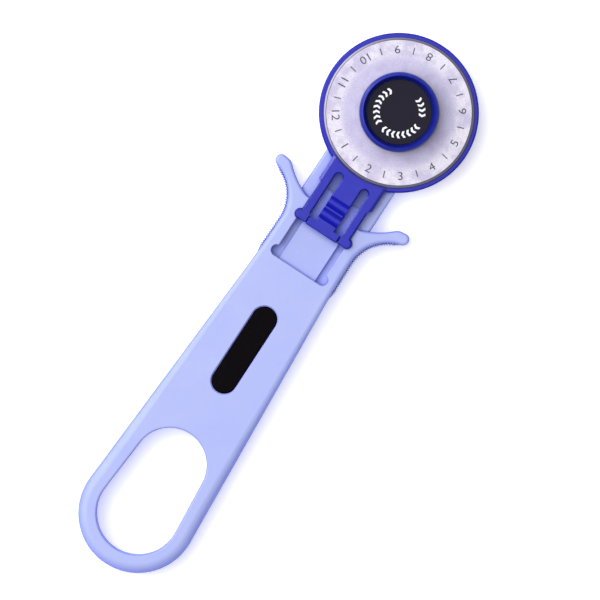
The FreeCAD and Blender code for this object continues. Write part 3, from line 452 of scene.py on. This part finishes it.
def make_numeral(number, material):
    """A numeral from 1 to 12, its top towards the axle."""
    name = f"numeral_{number:02d}"
    curve = bpy.data.curves.new(name, "FONT")
    curve.body = str(number)
    curve.align_x = "CENTER"
    curve.extrude = INK_THICKNESS / 2
    curve.resolution_u = 6
    text = bpy.data.objects.new(name, curve)
    bpy.context.scene.collection.objects.link(text)
    bpy.context.view_layer.update()
    data = bpy.data.meshes.new_from_object(text.evaluated_get(bpy.context.evaluated_depsgraph_get()))
    bpy.data.objects.remove(text)
    weld(data)
    low = min(v.co.y for v in data.vertices)
    high = max(v.co.y for v in data.vertices)
    scale = (NUMERAL_BASE - NUMERAL_TOP) / (high - low)
    angle = FIRST_ANGLE + STEP * (number - 1)
    outwards = Vector((math.cos(angle), math.sin(angle), 0))
    data.transform(Matrix.Translation((0, -low, 0)))
    data.transform(Matrix.Diagonal((scale * NUMERAL_STRETCH, scale, 1, 1)))
    data.transform(Matrix.Rotation(angle + math.pi / 2, 4, "Z"))
    seat = Vector((AXLE.x, AXLE.y, BLADE_HIGH.z + INK_THICKNESS / 2)) + outwards * NUMERAL_BASE
    data.transform(Matrix.Translation(seat))
    data.name = name
    piece = bpy.data.objects.new(name, data)
    bpy.context.scene.collection.objects.link(piece)
    return finish_piece(piece, material, "blade")


def make_cap_marks(material):
    """Chevrons round the cap that point the way it tightens, with a gap between groups."""
    mesh = bmesh.new()
    middle = (CHEVRON_INNER + CHEVRON_OUTER) / 2
    half = CHEVRON_WIDTH / 2
    chevron = [(CHEVRON_INNER, half), (CHEVRON_INNER, -half), (middle, -CHEVRON_LEAN - half),
               (CHEVRON_OUTER, -half), (CHEVRON_OUTER, half), (middle, -CHEVRON_LEAN + half)]
    for start, count in CHEVRON_GROUPS:
        for n in range(count):
            angle = math.radians(start - CHEVRON_STEP * n)
            prism(mesh, turned_outline(chevron, angle), CAP_HIGH.z, CAP_HIGH.z + INK_THICKNESS)
    return finish_piece(piece_from(mesh, "cap_marks"), material, "knob")


def make_marks():
    grey = ink("blade_ink", srgb(66, 58, 82), srgb(116, 108, 132), 0.55)
    white = ink("cap_ink", srgb(238, 238, 244), srgb(200, 200, 212), 0.6)
    make_ticks(grey)
    for number in range(1, 13):
        make_numeral(number, grey)
    make_cap_marks(white)


# --- stage, light and camera ----------------------------------------------------------------------

def make_stage():
    mesh = bmesh.new()
    bmesh.ops.create_grid(mesh, x_segments=1, y_segments=1, size=2.0)
    floor = piece_from(mesh, "floor")
    floor.location.z = -0.05 * MM
    shader = Shader("floor_paper")
    paper = shader.mix(shader.noise(40 * MM), (0.94, 0.94, 0.945, 1), (0.96, 0.96, 0.96, 1))
    shader.set(Base_Color=paper)
    shader.set(Roughness=0.9, Emission_Color=(1, 1, 1, 1), Emission_Strength=0.35)
    floor.data.materials.append(shader.material)


def area_light(name, place, size, power):
    """A round white light that faces the origin."""
    data = bpy.data.lights.new(name, "AREA")
    data.shape = "DISK"
    data.size = size
    data.energy = power
    light = bpy.data.objects.new(name, data)
    light.location = place
    light.rotation_euler = (-Vector(place)).to_track_quat("-Z", "Y").to_euler()
    bpy.context.scene.collection.objects.link(light)


def make_light():
    """Two big soft lights above the picture's left, a small low one there, and a room dim overhead."""
    world = bpy.data.worlds.new("dim_room")
    world.use_nodes = True
    nodes, links = world.node_tree.nodes, world.node_tree.links
    height = nodes.new("ShaderNodeSeparateXYZ")
    links.new(nodes.new("ShaderNodeTexCoord").outputs["Generated"], height.inputs[0])
    fade = nodes.new("ShaderNodeMapRange")
    for name, value in (("From Min", 0.15), ("From Max", 0.7), ("To Min", 0.65), ("To Max", 0.1)):
        fade.inputs[name].default_value = value
    links.new(height.outputs[2], fade.inputs["Value"])
    links.new(fade.outputs["Result"], nodes["Background"].inputs["Strength"])
    nodes["Background"].inputs["Color"].default_value = (1, 1, 1, 1)
    bpy.context.scene.world = world
    area_light("key", (-0.95, -0.05, 0.75), 1.6, 6.5)
    area_light("top", (-0.42, -0.04, 1.15), 1.5, 18.5)
    area_light("side", (-1.1, 0.1, 0.08), 0.3, 5.0)


def make_camera():
    """Straight over the tool, turned so that it slants up to the right, with a long lens."""
    data = bpy.data.cameras.new("camera")
    data.lens = 370
    data.sensor_width = 36
    camera = bpy.data.objects.new("camera", data)
    camera.location = (0.0036, 0.0034, 1.1561)
    camera.rotation_euler = (0, 0, math.radians(33.08))
    bpy.context.scene.collection.objects.link(camera)
    bpy.context.scene.camera = camera


make_camera()
dress_frame()
make_finger_rests()
make_marks()
make_stage()
make_light()
bpy.context.scene.view_settings.view_transform = "Standard"
